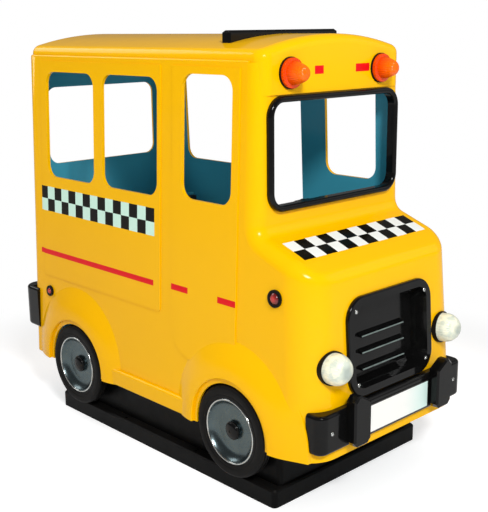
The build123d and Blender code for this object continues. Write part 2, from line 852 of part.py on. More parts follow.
with BuildPart() as steering_wheel:
    with BuildSketch(Plane(origin=steer_plane.origin, x_dir=steer_plane.x_dir,
                           z_dir=steer_plane.y_dir)):
        with Locations((steer_radius, 0)):
            RegularPolygon(steer_tube, 12)
    revolve(axis=Axis(steer_plane.origin, steer_plane.z_dir), revolution_arc=360)
    with BuildSketch(steer_plane.offset(-steer_hub_rear)):
        Circle(steer_hub)
    extrude(amount=steer_hub_rear + steer_hub_front)
    with BuildSketch(steer_plane.offset(-spoke_thick / 2)):
        with PolarLocations(0, 3, start_angle=-90):
            Rectangle(steer_radius, spoke_width, align=(Align.MIN, Align.CENTER))
    extrude(amount=spoke_thick)
    with BuildSketch(steer_plane.offset(-sleeve_end)):
        Circle(column_radius + axle_play)
    extrude(amount=sleeve_end + steer_hub_front / 2 + 1, mode=Mode.SUBTRACT)
save(steering_wheel, "steering_wheel")


def wheel_pieces(side, y):
    """Tyre, rim and hub cap of one wheel, turned about its axle."""
    section_plane = Plane(origin=(0, y, wheel_z), x_dir=(side, 0, 0), z_dir=(0, -side, 0))
    axle_line = Axis((0, y, wheel_z), (1, 0, 0))
    face_x = tyre_outer_x - rim_inset
    back_x = tyre_inner_x + rim_inset
    bowl_x = face_x - rim_dish
    with BuildPart() as tyre:
        with BuildSketch(section_plane) as section:
            with Locations((tyre_inner_x, rim_radius)):
                Rectangle(tyre_width, tyre_radius - rim_radius, align=(Align.MIN, Align.MIN))
            chamfer(section.vertices().sort_by(Axis.Y)[-2:], tyre_shoulder)
        revolve(axis=axle_line, revolution_arc=360)
    with BuildPart() as rim:
        with BuildSketch(section_plane):
            with BuildLine():
                Polyline(
                    (back_x, rim_radius),
                    (face_x, rim_radius),
                    (face_x, rim_radius - rim_lip),
                )
                ThreePointArc(
                    (face_x, rim_radius - rim_lip),
                    (bowl_x + rim_dish / 4, rim_radius - rim_dish),
                    (bowl_x, rim_radius - 2 * rim_dish),
                )
                Polyline(
                    (bowl_x, rim_radius - 2 * rim_dish),
                    (bowl_x, hub_radius),
                    (bowl_x + hub_rise, hub_radius),
                    (bowl_x + hub_rise, bore_radius + axle_play),
                    (back_x, bore_radius + axle_play),
                    (back_x, hub_radius),
                    (bowl_x - rim_thick, hub_radius),
                    (bowl_x - rim_thick, rim_radius - rim_thick),
                    (back_x, rim_radius - rim_thick),
                    (back_x, rim_radius),
                )
            make_face()
        revolve(axis=axle_line, revolution_arc=360)
    with BuildPart() as cap:
        with BuildSketch(section_plane):
            with BuildLine():
                Polyline(
                    (bowl_x + hub_rise, 0),
                    (bowl_x + hub_rise, cap_radius),
                    (bowl_x + hub_rise + cap_wall, cap_radius),
                    (bowl_x + hub_rise + cap_shoulder, cap_shoulder_radius),
                    (bowl_x + hub_rise + cap_height, cap_top_radius),
                    (bowl_x + hub_rise + cap_height, 0),
                    close=True,
                )
            make_face()
        revolve(axis=axle_line, revolution_arc=360)
    return tyre, rim, cap


for side, side_name in ((-1, "right"), (1, "left")):
    for y, end_name in ((front_axle_y, "front"), (rear_axle_y, "rear")):
        tyre, rim, cap = wheel_pieces(side, y)
        save(tyre, "tyre_" + end_name + "_" + side_name)
        save(rim, "rim_" + end_name + "_" + side_name)
        save(cap, "hub_cap_" + end_name + "_" + side_name)

# Stub axles out of the housing, each with a collar behind its wheel
axle_end = tyre_outer_x - rim_inset - rim_dish + hub_rise - 1
with BuildPart() as axles:
    for side in (-1, 1):
        for y in (front_axle_y, rear_axle_y):
            root = Plane(origin=(side * housing_half, y, wheel_z), x_dir=(0, 1, 0), z_dir=(side, 0, 0))
            with BuildSketch(root):
                Circle(bore_radius)
            extrude(amount=axle_end - housing_half)
            with BuildSketch(root):
                Circle(axle_collar)
            extrude(amount=tyre_inner_x + rim_inset - housing_half - fit_gap)
save(axles, "stub_axles")
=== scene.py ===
import json
import math

import bpy
import bmesh
from mathutils import Matrix, Vector


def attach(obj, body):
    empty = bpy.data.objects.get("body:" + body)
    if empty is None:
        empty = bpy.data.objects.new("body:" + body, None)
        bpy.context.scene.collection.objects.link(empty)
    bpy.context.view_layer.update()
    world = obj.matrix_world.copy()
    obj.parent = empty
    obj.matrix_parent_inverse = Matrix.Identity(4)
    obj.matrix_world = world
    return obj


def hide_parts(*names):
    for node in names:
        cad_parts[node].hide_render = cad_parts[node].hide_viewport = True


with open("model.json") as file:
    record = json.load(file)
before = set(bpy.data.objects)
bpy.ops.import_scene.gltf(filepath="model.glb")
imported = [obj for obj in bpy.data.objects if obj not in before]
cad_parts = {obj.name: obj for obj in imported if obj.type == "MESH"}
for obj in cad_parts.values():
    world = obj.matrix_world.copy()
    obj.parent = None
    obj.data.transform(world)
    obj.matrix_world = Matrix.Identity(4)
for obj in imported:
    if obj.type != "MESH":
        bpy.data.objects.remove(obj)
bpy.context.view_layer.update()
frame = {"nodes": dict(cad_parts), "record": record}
nodes = frame["nodes"]

# Colours, as linear values
YELLOW = (0.95, 0.50, 0.0, 1)
# Painted shade: darker yellow for the lower rear of the sides, standing in for dark reflections of the
# surroundings
SHADED_YELLOW = (0.74, 0.34, 0.0, 1)
TEAL = (0.06, 0.36, 0.48, 1)
BLACK = (0.002, 0.002, 0.002, 1)
CHECK_BLACK = (0.006, 0.005, 0.003, 1)
MINT = (0.62, 0.88, 0.74, 1)
WHITE = (0.86, 0.88, 0.84, 1)
RED = (0.74, 0.005, 0.008, 1)
CREAM = (0.88, 0.87, 0.68, 1)
LENS_GREY = (0.22, 0.28, 0.27, 1)
ORANGE = (0.95, 0.15, 0.0, 1)
DEEP_ORANGE = (0.72, 0.045, 0.0, 1)
STEEL_BLUE = (0.13, 0.17, 0.18, 1)
FLOOR = (0.80, 0.80, 0.80, 1)
NEAR_GLOW = 0.42
DIFFUSE_WORLD = (0.54, 0.54, 0.54, 1)
GLOSSY_WORLD = (0.16, 0.16, 0.16, 1)

# Body sizes, repeated from the source in metres
WAIST_HALF = 0.400
WAIST_Z = 0.877
SIDE_TAPER = 0.042
WALL = 0.009
FRONT_AXLE_Y = -0.472
REAR_AXLE_Y = 0.486
WHEEL_Z = 0.243
TYRE_OUTER_X = 0.4450
TYRE_INNER_X = 0.3930
TYRE_RADIUS = 0.170
RIM_RADIUS = 0.121
RIM_FACE_X = TYRE_OUTER_X - 0.004
BOWL_X = RIM_FACE_X - 0.024
STEER = Vector((0.0, -0.330, 0.900))
STEER_TILT = math.radians(38)
NOSE_BOTTOM_Z = 0.226
NOSE_BOTTOM_Y = -0.850
NOSE_LEAN = 0.0668
HEADER_FACE_Y = -0.569
LAMP_X = 0.314
LAMP_Z = 0.543
BEACON_X = 0.236
BEACON_Z = 1.484
FRONT_SIDE_LAMP = (-0.665, 0.766)
REAR_SIDE_LAMP = (0.697, 0.523)
PLATE_Z = 0.325

# Painted marks, as ranges in metres
SIDE_BAND_Y = (-0.032, 0.748)
SIDE_BAND_Z = (0.877, 0.982)
SIDE_CHECK = (0.052, 0.0525)
STRIPE_Y = (-0.026, 0.762)
STRIPE_Z = (0.686, 0.708)
FRONT_DASH_Y = (-0.478, -0.386)
REAR_DASH_Y = (-0.226, -0.130)
DASH_Z = (0.694, 0.717)
HEADER_DASH_Z = (1.475, 1.503)
RIGHT_HEADER_DASH_X = (-0.114, -0.069)
LEFT_HEADER_DASH_X = (0.101, 0.177)
BONNET_BAND_HALF = 0.330
BONNET_BAND_Y = (-0.726, -0.624)
BONNET_CHECK = (0.055, 0.051)


class Shade:
    """A material under construction, with short calls for its nodes."""

    def __init__(self, name, colour, roughness, metallic=0.0):
        self.material = bpy.data.materials.new(name)
        self.material.use_nodes = True
        self.tree = self.material.node_tree
        self.bsdf = self.tree.nodes["Principled BSDF"]
        self.bsdf.inputs["Base Color"].default_value = colour
        self.bsdf.inputs["Roughness"].default_value = roughness
        self.bsdf.inputs["Metallic"].default_value = metallic
        texture = self.tree.nodes.new("ShaderNodeTexCoord")
        self.coords = texture.outputs["Object"]
        self.x, self.y, self.z = self.split(self.coords)
        self.nx, self.ny, self.nz = self.split(texture.outputs["Normal"])

    def split(self, vector):
        node = self.tree.nodes.new("ShaderNodeSeparateXYZ")
        self.tree.links.new(vector, node.inputs[0])
        return node.outputs

    def put(self, value, socket):
        """Link a socket, or set a plain value."""
        if isinstance(value, bpy.types.NodeSocket):
            self.tree.links.new(value, socket)
        else:
            socket.default_value = value

    def math(self, operation, a, b=0.0, c=0.0):
        node = self.tree.nodes.new("ShaderNodeMath")
        node.operation = operation
        for value, socket in zip((a, b, c), node.inputs):
            self.put(value, socket)
        return node.outputs[0]

    def mix(self, factor, a, b):
        node = self.tree.nodes.new("ShaderNodeMix")
        node.data_type = "RGBA"
        self.put(factor, node.inputs[0])
        self.put(a, node.inputs[6])
        self.put(b, node.inputs[7])
        return node.outputs[2]

    def noise(self, scale, detail=2.0, stretch=None):
        node = self.tree.nodes.new("ShaderNodeTexNoise")
        node.inputs["Scale"].default_value = scale
        node.inputs["Detail"].default_value = detail
        place = self.coords
        if stretch:
            mapping = self.tree.nodes.new("ShaderNodeMapping")
            mapping.inputs["Scale"].default_value = stretch
            self.tree.links.new(self.coords, mapping.inputs[0])
            place = mapping.outputs[0]
        self.tree.links.new(place, node.inputs["Vector"])
        return node.outputs["Fac"]

    def grain(self, scale):
        node = self.tree.nodes.new("ShaderNodeTexVoronoi")
        node.inputs["Scale"].default_value = scale
        self.tree.links.new(self.coords, node.inputs["Vector"])
        return node.outputs["Distance"]

    def ramp(self, value, low, high):
        """0 at low, 1 at high, smooth between."""
        node = self.tree.nodes.new("ShaderNodeMapRange")
        node.interpolation_type = "SMOOTHSTEP"
        self.put(value, node.inputs["Value"])
        node.inputs["From Min"].default_value = low
        node.inputs["From Max"].default_value = high
        return node.outputs[0]

    def above(self, value, low):
        return self.math("GREATER_THAN", value, low)

    def below(self, value, high):
        return self.math("LESS_THAN", value, high)

    def span(self, value, low, high):
        """1 where value lies between low and high, else 0."""
        return self.math("MULTIPLY", self.above(value, low), self.below(value, high))

    def every(self, *masks):
        result = masks[0]
        for mask in masks[1:]:
            result = self.math("MULTIPLY", result, mask)
        return result

    def some(self, *masks):
        result = masks[0]
        for mask in masks[1:]:
            result = self.math("MAXIMUM", result, mask)
        return result

    def far_from(self, y, z):
        """Distance from a line along X at y and z."""
        across = self.math("SUBTRACT", self.y, y)
        up = self.math("SUBTRACT", self.z, z)
        squares = self.math("ADD", self.math("MULTIPLY", across, across), self.math("MULTIPLY", up, up))
        return self.math("SQRT", squares)

    def row(self, value, start, pitch):
        """Number of the row of width pitch in which value lies, counted from start."""
        return self.math("FLOOR", self.math("DIVIDE", self.math("SUBTRACT", value, start), pitch))

    def beside(self, x, z):
        """Offsets sideways and upwards from the nearer of two mirrored centres."""
        side = self.math("SUBTRACT", self.math("ABSOLUTE", self.x), x)
        up = self.math("SUBTRACT", self.z, z)
        return side, up

    def checks(self, value_a, start_a, pitch_a, value_b, start_b, pitch_b):
        """0 and 1 by turns over a grid of two directions."""
        row_a = self.row(value_a, start_a, pitch_a)
        row_b = self.row(value_b, start_b, pitch_b)
        total = self.math("ADD", row_a, row_b)
        return self.math("ABSOLUTE", self.math("MODULO", total, 2.0))

    def bump(self, height, strength, distance):
        node = self.tree.nodes.new("ShaderNodeBump")
        node.inputs["Strength"].default_value = strength
        node.inputs["Distance"].default_value = distance
        self.tree.links.new(height, node.inputs["Height"])
        self.tree.links.new(node.outputs[0], self.bsdf.inputs["Normal"])

    def rough(self, height, low, high):
        node = self.tree.nodes.new("ShaderNodeMapRange")
        node.inputs["To Min"].default_value = low
        node.inputs["To Max"].default_value = high
        self.tree.links.new(height, node.inputs["Value"])
        self.tree.links.new(node.outputs[0], self.bsdf.inputs["Roughness"])

    def colour(self, value):
        self.put(value, self.bsdf.inputs["Base Color"])

    def coat(self, weight, roughness=0.05):
        self.bsdf.inputs["Coat Weight"].default_value = weight
        self.bsdf.inputs["Coat Roughness"].default_value = roughness


def inner_side(shade):
    """1 on the faces of the wall that look into the cabin."""
    side = shade.math("ABSOLUTE", shade.x)
    lean = shade.math("MULTIPLY", shade.math("SUBTRACT", WAIST_Z, shade.z), SIDE_TAPER)
    reach = shade.math("ADD", lean, WAIST_HALF - WALL + 0.001)
    within = shade.below(side, reach)
    turned = shade.math("MULTIPLY", shade.nx, shade.math("SIGN", shade.x))
    walls = shade.every(shade.below(turned, -0.3), shade.above(side, 0.33))
    front = shade.every(shade.above(shade.ny, 0.4), shade.below(shade.y, -0.50))
    rear = shade.every(shade.below(shade.ny, -0.5), shade.above(shade.y, 0.78))
    downward = shade.below(shade.nz, -0.3)
    under = shade.every(downward, shade.below(shade.y, -0.55), shade.span(shade.z, 0.70, 1.04))
    ceiling = shade.every(downward, shade.above(shade.z, 1.524))
    return shade.every(within, shade.some(walls, front, rear, under, ceiling))


def yellow_gelcoat():
    shade = Shade("yellow_gelcoat", YELLOW, 0.14)
    shade.coat(0.06, 0.03)
    shade.bsdf.inputs["Specular IOR Level"].default_value = 0.12
    side = shade.math("ABSOLUTE", shade.x)
    outward = shade.above(shade.math("MULTIPLY", shade.nx, shade.math("SIGN", shade.x)), 0.5)
    on_side = shade.every(shade.above(side, 0.37), outward)
    # Painted shade: the sides darken towards the rear and the bottom, broken up by noise, standing in
    # for dark reflections of the surroundings
    shadow = shade.math("MULTIPLY", shade.ramp(shade.y, -0.4, 0.9), shade.ramp(shade.z, 1.2, 0.3))
    noise_broken = shade.math("MULTIPLY", shadow, shade.noise(2.4, 3.0))
    painted = shade.mix(shade.math("MULTIPLY", noise_broken, 0.9), YELLOW, SHADED_YELLOW)
    band = shade.every(on_side, shade.span(shade.y, *SIDE_BAND_Y), shade.span(shade.z, *SIDE_BAND_Z))
    wide, high = SIDE_CHECK
    dark = shade.checks(shade.y, SIDE_BAND_Y[0], wide, shade.z, SIDE_BAND_Z[0], high)
    painted = shade.mix(band, painted, shade.mix(dark, MINT, CHECK_BLACK))
    stripe = shade.every(on_side, shade.span(shade.y, *STRIPE_Y), shade.span(shade.z, *STRIPE_Z))
    dash_places = shade.some(shade.span(shade.y, *REAR_DASH_Y), shade.span(shade.y, *FRONT_DASH_Y))
    dashes = shade.every(on_side, dash_places, shade.span(shade.z, *DASH_Z))
    on_front = shade.every(shade.below(shade.ny, -0.5), shade.span(shade.z, *HEADER_DASH_Z))
    right_place = shade.span(shade.x, *RIGHT_HEADER_DASH_X)
    left_place = shade.span(shade.x, *LEFT_HEADER_DASH_X)
    header_dashes = shade.every(on_front, shade.some(right_place, left_place))
    painted = shade.mix(shade.some(stripe, dashes, header_dashes), painted, RED)
    upward = shade.every(shade.above(shade.nz, 0.4), shade.above(shade.z, 0.80))
    on_bonnet = shade.every(upward, shade.below(side, BONNET_BAND_HALF))
    bonnet_band = shade.every(on_bonnet, shade.span(shade.y, *BONNET_BAND_Y))
    wide, long = BONNET_CHECK
    dark = shade.checks(shade.x, -BONNET_BAND_HALF, wide, shade.y, BONNET_BAND_Y[0], long)
    painted = shade.mix(bonnet_band, painted, shade.mix(dark, CHECK_BLACK, WHITE))
    painted = shade.mix(inner_side(shade), painted, TEAL)
    shade.colour(painted)
    shade.bump(shade.noise(7.0, 1.0), 0.05, 0.012)
    shade.rough(shade.noise(14.0, 4.0), 0.10, 0.20)
    return shade.material


def teal_gelcoat():
    shade = Shade("teal_gelcoat", TEAL, 0.4)
    shade.bsdf.inputs["Specular IOR Level"].default_value = 0.25
    shade.colour(shade.mix(shade.noise(5.0, 4.0), TEAL, (0.08, 0.38, 0.44, 1)))
    shade.bump(shade.noise(60.0, 3.0), 0.12, 0.002)
    shade.rough(shade.noise(20.0, 4.0), 0.30, 0.52)
    return shade.material


def black_gelcoat():
    shade = Shade("black_gelcoat", BLACK, 0.10)
    shade.coat(0.10, 0.03)
    shade.bsdf.inputs["Specular IOR Level"].default_value = 0.16
    shade.colour(shade.mix(shade.noise(12.0, 5.0), BLACK, (0.005, 0.005, 0.005, 1)))
    shade.bump(shade.noise(11.0, 2.0), 0.08, 0.010)
    shade.rough(shade.noise(35.0, 5.0), 0.06, 0.20)
    return shade.material


# Painted highlight: lighter grey-green edges standing in for the reflection lines along the louvres'
# front edges
def painted_edge_highlight():
    shade = Shade("painted_edge_highlight", (0.10, 0.13, 0.12, 1), 0.18)
    shade.colour(shade.mix(shade.noise(45.0, 5.0), (0.06, 0.08, 0.075, 1), (0.24, 0.30, 0.28, 1)))
    shade.rough(shade.noise(60.0, 3.0), 0.12, 0.25)
    return shade.material


def black_rubber(name, scale):
    shade = Shade(name, (0.004, 0.004, 0.004, 1), 0.6)
    shade.bsdf.inputs["Specular IOR Level"].default_value = 0.12
    shade.colour(shade.mix(shade.noise(18.0, 6.0), (0.003, 0.003, 0.003, 1), (0.009, 0.0085, 0.008, 1)))
    shade.bump(shade.noise(scale, 3.0), 0.15, 0.001)
    shade.rough(shade.noise(25.0, 5.0), 0.42, 0.66)
    return shade.material


def frosted_lens():
    shade = Shade("frosted_lens", CREAM, 0.35)
    shade.coat(0.5, 0.08)
    side, up = shade.beside(LAMP_X, LAMP_Z)
    squares = shade.math("ADD", shade.math("MULTIPLY", side, side), shade.math("MULTIPLY", up, up))
    radius = shade.math("SQRT", squares)
    noise_broken = shade.math("ADD", radius, shade.math("MULTIPLY", shade.noise(38.0, 3.0), 0.022))
    middle = shade.ramp(noise_broken, 0.048, 0.020)
    mottled = shade.mix(shade.ramp(shade.noise(46.0, 4.0), 0.36, 0.66), CREAM, (0.60, 0.66, 0.56, 1))
    shade.colour(shade.mix(shade.math("MULTIPLY", middle, 0.75), mottled, LENS_GREY))
    angle = shade.math("ARCTAN2", up, side)
    ribs = shade.math("SINE", shade.math("MULTIPLY", angle, 36.0))
    shade.bump(shade.math("MULTIPLY", ribs, shade.ramp(radius, 0.01, 0.04)), 0.35, 0.0015)
    shade.bsdf.inputs["Subsurface Weight"].default_value = 0.15
    shade.bsdf.inputs["Subsurface Radius"].default_value = (0.02, 0.018, 0.012)
    shade.bsdf.inputs["Emission Color"].default_value = CREAM
    shade.bsdf.inputs["Emission Strength"].default_value = 0.12
    return shade.material


def amber_lens():
    shade = Shade("amber_lens", ORANGE, 0.16)
    shade.coat(0.15, 0.04)
    shade.bsdf.inputs["Specular IOR Level"].default_value = 0.2
    depth = shade.ramp(shade.y, -0.590, -0.640)
    shade.colour(shade.mix(depth, DEEP_ORANGE, ORANGE))
    side, up = shade.beside(BEACON_X, BEACON_Z)
    ribs = shade.math("SINE", shade.math("MULTIPLY", shade.math("ARCTAN2", up, side), 28.0))
    shade.bump(ribs, 0.4, 0.0015)
    shade.rough(shade.noise(30.0, 3.0), 0.12, 0.22)
    shade.bsdf.inputs["Subsurface Weight"].default_value = 0.2
    shade.bsdf.inputs["Subsurface Radius"].default_value = (0.02, 0.006, 0.002)
    shade.bsdf.inputs["Emission Color"].default_value = ORANGE
    shade.bsdf.inputs["Emission Strength"].default_value = 0.10
    return shade.material


def red_lens():
    shade = Shade("red_lens", (0.30, 0.008, 0.006, 1), 0.2)
    shade.coat(0.5, 0.05)
    near = shade.math("MINIMUM", shade.far_from(*FRONT_SIDE_LAMP), shade.far_from(*REAR_SIDE_LAMP))
    rim = shade.ramp(near, 0.004, 0.016)
    shade.colour(shade.mix(rim, (0.55, 0.02, 0.012, 1), (0.16, 0.006, 0.005, 1)))
    shade.bump(shade.math("SINE", shade.math("MULTIPLY", near, 2400.0)), 0.3, 0.0008)
    return shade.material


def plate_white():
    shade = Shade("plate_white", WHITE, 0.35)
    shade.coat(0.2, 0.1)
    mixed = shade.mix(shade.ramp(shade.x, 0.02, 0.18), (0.90, 0.90, 0.86, 1), (0.66, 0.86, 0.80, 1))
    edge = shade.some(
        shade.above(shade.math("ABSOLUTE", shade.x), 0.1775),
        shade.above(shade.math("ABSOLUTE", shade.math("SUBTRACT", shade.z, PLATE_Z)), 0.0485),
    )
    shade.colour(shade.mix(edge, mixed, CHECK_BLACK))
    shade.bump(shade.noise(40.0, 3.0), 0.06, 0.002)
    return shade.material


def black_paint():
    shade = Shade("black_paint", (0.003, 0.003, 0.003, 1), 0.4)
    shade.bsdf.inputs["Specular IOR Level"].default_value = 0.10
    dust = shade.math("MULTIPLY", shade.ramp(shade.nz, 0.4, 0.9), shade.noise(8.0, 6.0))
    shade.colour(shade.mix(dust, (0.002, 0.002, 0.002, 1), (0.012, 0.011, 0.010, 1)))
    shade.bump(shade.noise(70.0, 4.0), 0.2, 0.0015)
    shade.rough(shade.noise(22.0, 5.0), 0.28, 0.55)
    return shade.material


def black_vinyl():
    shade = Shade("black_vinyl", (0.018, 0.018, 0.020, 1), 0.45)
    shade.bsdf.inputs["Specular IOR Level"].default_value = 0.35
    shade.colour(shade.mix(shade.noise(9.0, 5.0), (0.014, 0.014, 0.016, 1), (0.032, 0.031, 0.031, 1)))
    shade.bump(shade.grain(420.0), 0.35, 0.0006)
    shade.rough(shade.noise(30.0, 4.0), 0.32, 0.52)
    return shade.material


def metal(name, colour, roughness, turned_x=False):
    shade = Shade(name, colour, roughness, 1.0)
    dull = tuple(value * 0.7 for value in colour[:3]) + (1,)
    shade.colour(shade.mix(shade.noise(16.0, 5.0), colour, dull))
    stretch = (40.0, 1.0, 1.0) if turned_x else (1.0, 1.0, 30.0)
    shade.bump(shade.noise(26.0, 3.0, stretch), 0.06, 0.001)
    shade.rough(shade.noise(24.0, 4.0), roughness * 0.8, roughness * 1.3)
    return shade.material


materials = {
    "yellow_gelcoat": yellow_gelcoat(),
    "teal_gelcoat": teal_gelcoat(),
    "black_gelcoat": black_gelcoat(),
    "black_rubber": black_rubber("black_rubber", 90.0),
    "frosted_lens": frosted_lens(),
    "amber_lens": amber_lens(),
    "red_lens": red_lens(),
    "plate_white": plate_white(),
    "black_paint": black_paint(),
    "black_vinyl": black_vinyl(),
    "bare_steel": metal("bare_steel", (0.42, 0.42, 0.43, 1), 0.32, True),
    "tyre_rubber": black_rubber("tyre_rubber", 140.0),
    "wheel_metal": metal("wheel_metal", STEEL_BLUE, 0.26, True),
    "bright_metal": metal("bright_metal", (0.72, 0.74, 0.72, 1), 0.16),
    "painted_edge_highlight": painted_edge_highlight(),
}

for row in frame["record"]["subparts"]:
    node = nodes[row["node"]]
    node.data.materials.clear()
    node.data.materials.append(materials[row["material_slot"]])


# Making of the added pieces
def piece_from(name, mesh_data, material, body, sharp=40):
    """Finish a bmesh as a smooth-shaded piece that rides on a body."""
    bmesh.ops.remove_doubles(mesh_data, verts=mesh_data.verts, dist=1e-6)
    bmesh.ops.recalc_face_normals(mesh_data, faces=mesh_data.faces)
    mesh = bpy.data.meshes.new(name)
    mesh_data.to_mesh(mesh)
    mesh_data.free()
    mesh.shade_smooth()
    mesh.set_sharp_from_angle(angle=math.radians(sharp))
    piece = bpy.data.objects.new(name, mesh)
    bpy.context.scene.collection.objects.link(piece)
    mesh.materials.append(materials[material])
    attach(piece, body)
    return piece


def add_lathe(mesh_data, profile, origin, axis, start, steps):
    """Turn a closed profile of (along, radius) points about an axis."""
    along = Vector(axis).normalized()
    first = Vector(start).normalized()
    second = along.cross(first)
    rings = []
    for step in range(steps):
        angle = 2 * math.pi * step / steps
        outward = first * math.cos(angle) + second * math.sin(angle)
        ring = []
        for distance, radius in profile:
            ring.append(mesh_data.verts.new(Vector(origin) + along * distance + outward * radius))
        rings.append(ring)
    count = len(profile)
    for step in range(steps):
        this_ring = rings[step]
        next_ring = rings[(step + 1) % steps]
        for index in range(count):
            after = (index + 1) % count
            if profile[index][1] < 1e-9 and profile[after][1] < 1e-9:
                continue
            corners = [this_ring[index], this_ring[after], next_ring[after], next_ring[index]]
            if profile[index][1] < 1e-9:
                corners = [this_ring[index], this_ring[after], next_ring[after]]
            elif profile[after][1] < 1e-9:
                corners = [this_ring[index], this_ring[after], next_ring[index]]
            mesh_data.faces.new(corners)


def arc(centre, radius, start, end, count):
    """Points of an arc in a profile, angles in degrees from the axis direction."""
    points = []
    for index in range(count + 1):
        angle = math.radians(start + (end - start) * index / count)
        points.append((centre[0] + radius * math.cos(angle), centre[1] + radius * math.sin(angle)))
    return points


def add_tube(mesh_data, path, radius, sides=10, closed=True):
    """Round bead along a path of points."""
    rings = []
    count = len(path)
    for index, point in enumerate(path):
        before = path[index - 1] if index or closed else point
        after = path[(index + 1) % count] if index < count - 1 or closed else point
        ahead = (after - before).normalized()
        level = ahead.cross(Vector((0.31, 0.17, 0.93))).normalized()
        upright = level.cross(ahead)
        ring = []
        for step in range(sides):
            angle = 2 * math.pi * step / sides
            offset = level * math.cos(angle) * radius + upright * math.sin(angle) * radius
            ring.append(mesh_data.verts.new(point + offset))
        rings.append(ring)
    last = count if closed else count - 1
    for index in range(last):
        one = rings[index]
        two = rings[(index + 1) % count]
        for step in range(sides):
            beside = (step + 1) % sides
            mesh_data.faces.new([one[step], one[beside], two[beside], two[step]])
    if not closed:
        mesh_data.faces.new(rings[0][::-1])
        mesh_data.faces.new(rings[-1])


# Wheels
def tyre_profile():
    middle = (TYRE_OUTER_X + TYRE_INNER_X) / 2
    half = (TYRE_OUTER_X - TYRE_INNER_X) / 2
    shoulder = 0.015
    outer = [
        (half - 0.004, RIM_RADIUS),
        (half - 0.002, RIM_RADIUS + 0.004),
        (half - 0.0008, RIM_RADIUS + 0.012),
        (half - 0.0008, RIM_RADIUS + 0.013),
        (half - 0.0016, RIM_RADIUS + 0.0145),
        (half, RIM_RADIUS + 0.017),
        (half, RIM_RADIUS + 0.028),
    ]
    outer += arc((half - shoulder, TYRE_RADIUS - shoulder), shoulder, 4, 82, 10)
    groove_x = (0.0095, 0.0055)
    outer += [
        (groove_x[0], TYRE_RADIUS),
        (groove_x[0] - 0.0006, TYRE_RADIUS - 0.003),
        (groove_x[1] + 0.0006, TYRE_RADIUS - 0.003),
        (groove_x[1], TYRE_RADIUS),
    ]
    mirrored = [(-along, radius) for along, radius in reversed(outer)]
    return [(middle + along, radius) for along, radius in outer + mirrored]


def cap_profile():
    foot = BOWL_X + 0.008
    dome = [(foot, 0.0), (foot, 0.034), (foot + 0.003, 0.034), (foot + 0.0042, 0.0332)]
    dome += [(foot + 0.0048 + 0.0085 * math.sin(t), 0.030 * math.cos(t)) for t in
             [math.radians(a) for a in range(0, 76, 9)]]
    dome += [(foot + 0.0133, 0.0062), (foot + 0.0118, 0.0056), (foot + 0.0118, 0.0)]
    return dome


WHEELS = (
    ("front_right", -1, FRONT_AXLE_Y),
    ("front_left", 1, FRONT_AXLE_Y),
    ("rear_right", -1, REAR_AXLE_Y),
    ("rear_left", 1, REAR_AXLE_Y),
)
for name, side, axle_y in WHEELS:
    origin = (0, axle_y, WHEEL_Z)
    axis = (side, 0, 0)
    data = bmesh.new()
    add_lathe(data, tyre_profile(), origin, axis, (0, 0, 1), 128)
    tyre = piece_from("moulded_tyre_" + name, data, "tyre_rubber", "wheel_" + name, 50)
    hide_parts("tyre_" + name)

    data = bmesh.new()
    bead = arc((RIM_FACE_X, RIM_RADIUS - 0.0035), 0.0030, -90, 90, 10)
    add_lathe(data, bead, origin, axis, (0, 0, 1), 128)
    piece_from("rim_bead_" + name, data, "bright_metal", "wheel_" + name, 60)

    data = bmesh.new()
    add_lathe(data, cap_profile(), origin, axis, (0, 0, 1), 64)
    cap = piece_from("domed_cap_" + name, data, "black_gelcoat", "wheel_" + name)
    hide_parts("hub_cap_" + name)


# Screws of the grille and the bumper
def screw_profile(radius, height):
    socket = radius * 0.42
    dome = [(-height * 0.5, 0.0), (-height * 0.5, radius), (0.0, radius)]
    for angle in (15, 35, 52):
        turn = math.radians(angle)
        dome.append((height * math.sin(turn), radius * math.cos(turn)))
    dome += [(height * 0.9, socket), (height * 0.35, socket * 0.9), (height * 0.35, 0.0)]
    return dome


def nose_y(z):
    """Place of the nose's face at height z."""
    return NOSE_BOTTOM_Y + NOSE_LEAN * (z - NOSE_BOTTOM_Z)


SCREW = screw_profile(0.0075, 0.0035)
GRILLE_SCREW_PLACES = ((-0.190, 0.707), (0.190, 0.707), (-0.190, 0.452), (0.190, 0.452))
data = bmesh.new()
for x, z in GRILLE_SCREW_PLACES:
    tilted = Vector((0, -1, NOSE_LEAN))
    seat_point = Vector((x, nose_y(z), z)) + tilted.normalized() * 0.0138
    add_lathe(data, SCREW, seat_point, tilted, (1, 0, 0), 20)
piece_from("grille_screws", data, "bright_metal", "ride")

data = bmesh.new()
for x in (-0.345, 0.345):
    add_lathe(data, SCREW, (x, -0.868, 0.332), (0, -1, 0), (1, 0, 0), 20)
piece_from("bumper_screws", data, "bright_metal", "ride")


# Louvres, each with a rounded front edge coloured lighter as a painted highlight
LOUVRE_HEIGHTS = (0.482, 0.541, 0.600)
LOUVRE_STATIONS = (-0.1165, -0.06, 0.0, 0.06, 0.1165)
TRAY_DEPTH = 0.046
data = bmesh.new()
for z in LOUVRE_HEIGHTS:
    front = Vector((0, nose_y(z) + TRAY_DEPTH - 0.0175, z - 0.0045))
    add_tube(data, [front + Vector((x, 0, 0)) for x in LOUVRE_STATIONS], 0.0026, 12, False)
piece_from("louvre_edges", data, "painted_edge_highlight", "ride", 60)


# Beacons, with the tapered foot of their domes
skirt = [(0.0205, 0.0285), (0.0205, 0.0396), (0.0240, 0.0394), (0.0300, 0.0382), (0.0380, 0.0360),
         (0.0460, 0.0334), (0.0530, 0.0308), (0.0565, 0.0294), (0.0565, 0.0285)]
data = bmesh.new()
for x in (-BEACON_X, BEACON_X):
    add_lathe(data, skirt, (x, HEADER_FACE_Y, BEACON_Z), (0, -1, 0), (1, 0, 0), 72)
piece_from("beacon_skirts", data, "amber_lens", "ride", 50)


